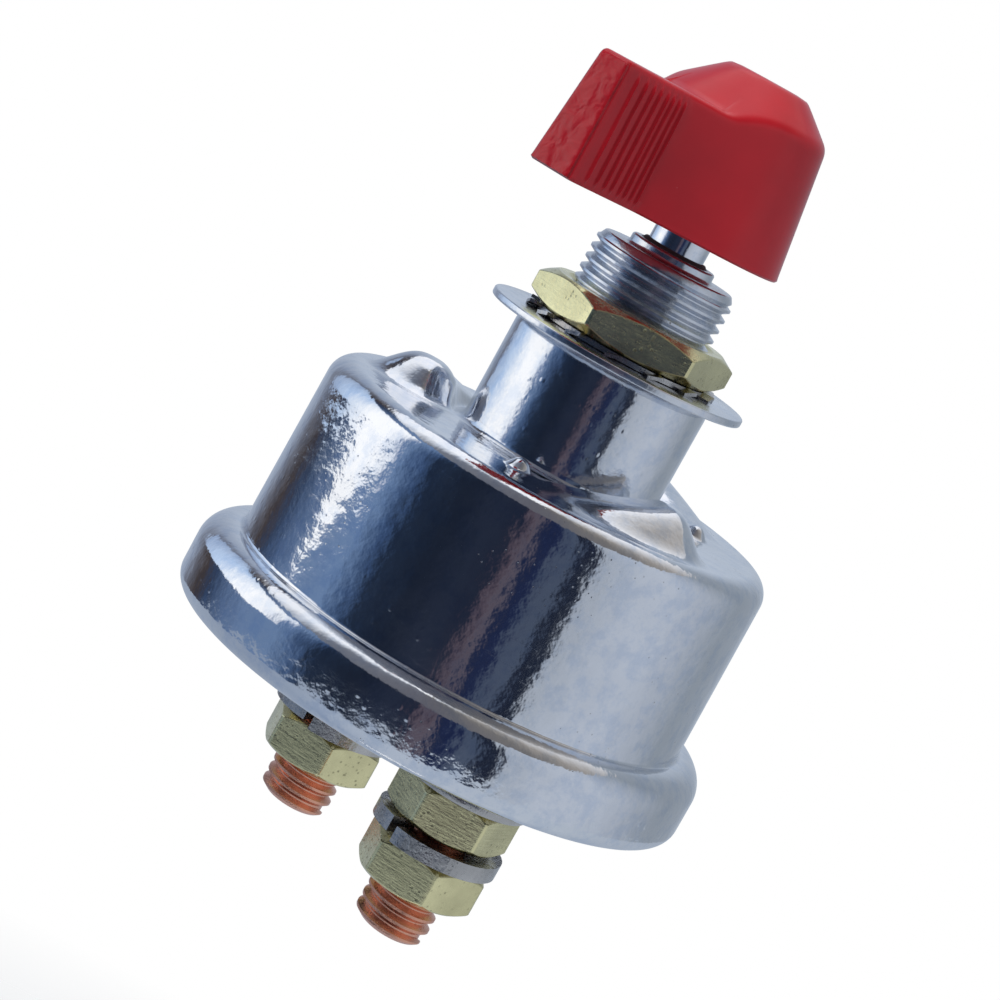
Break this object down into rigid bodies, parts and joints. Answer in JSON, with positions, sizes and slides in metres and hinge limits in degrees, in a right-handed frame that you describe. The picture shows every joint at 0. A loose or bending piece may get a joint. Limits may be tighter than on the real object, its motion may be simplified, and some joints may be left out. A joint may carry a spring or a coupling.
{
  "type": "battery disconnect switch",
  "caption": "Round plated rotary isolator switch with a threaded mounting neck, a red pointer knob on top and copper screw terminals below.",
  "frame": {"origin": "on the shaft axis, on the shoulder of the neck that the panel hardware sits on", "axes": "+Z along the shaft towards the knob; the knob points to the front left in its stored position"},
  "size_m": [0.0706, 0.0706, 0.1119],
  "materials": {
    "plated_shell": "bright zinc plate, polished",
    "plated_stem": "bright zinc plate, turned",
    "yellow_zinc": "yellow zinc plate",
    "washer_steel": "plain spring steel, dull",
    "plated_washer": "bright zinc plate",
    "red_paint": "gloss paint over a cast body",
    "dark_steel": "blackened",
    "plated_shaft": "ground and plated",
    "seal_rubber": "matt",
    "base_moulding": "moulded thermoset",
    "gasket_board": "pressed board",
    "carrier_moulding": "moulded thermoset",
    "copper": "bare copper",
    "rivet_brass": "bare brass",
    "spring_steel": "drawn wire",
    "copper_stud": "bare copper, rolled thread"
  },
  "bodies": {
    "switch_body": {"housing": "plated_shell", "threaded_stem": "plated_stem", "panel_nut": "yellow_zinc", "tooth_lock_washer": "washer_steel", "flat_washer": "plated_washer", "shaft_seal": "seal_rubber", "base_disc": "base_moulding", "base_gasket": "gasket_board", "contact_spring": "spring_steel", "spring_seat": "spring_steel", "stud_front": "copper_stud", "stud_rear": "copper_stud", "pad_washer_front": "washer_steel", "pad_washer_rear": "washer_steel", "inner_nut_front": "yellow_zinc", "inner_nut_rear": "yellow_zinc", "split_washer_front": "washer_steel", "split_washer_rear": "washer_steel", "outer_nut_front": "yellow_zinc", "outer_nut_rear": "yellow_zinc"},
    "knob_and_shaft": {"knob": "red_paint", "knob_set_screw": "dark_steel", "shaft": "plated_shaft"},
    "contact_carriage": {"contact_carrier": "carrier_moulding", "contact_disc": "copper", "contact_rivets": "rivet_brass"}
  },
  "joints": [
    {"name": "knob_turn", "type": "hinge", "parent": "switch_body", "child": "knob_and_shaft", "pos_m": [0, 0, 0], "axis": [0, 0, -1], "range_deg": [0, 48]},
    {"name": "contact_lower", "type": "slide", "parent": "knob_and_shaft", "child": "contact_carriage", "axis": [0, 0, -1], "range_m": [0, 0.004], "deforming": ["contact_spring"]}
  ],
  "couplings": [
    {"joint": "contact_lower", "follows": "knob_turn", "m_per_rad": 0.004775}
  ]
}
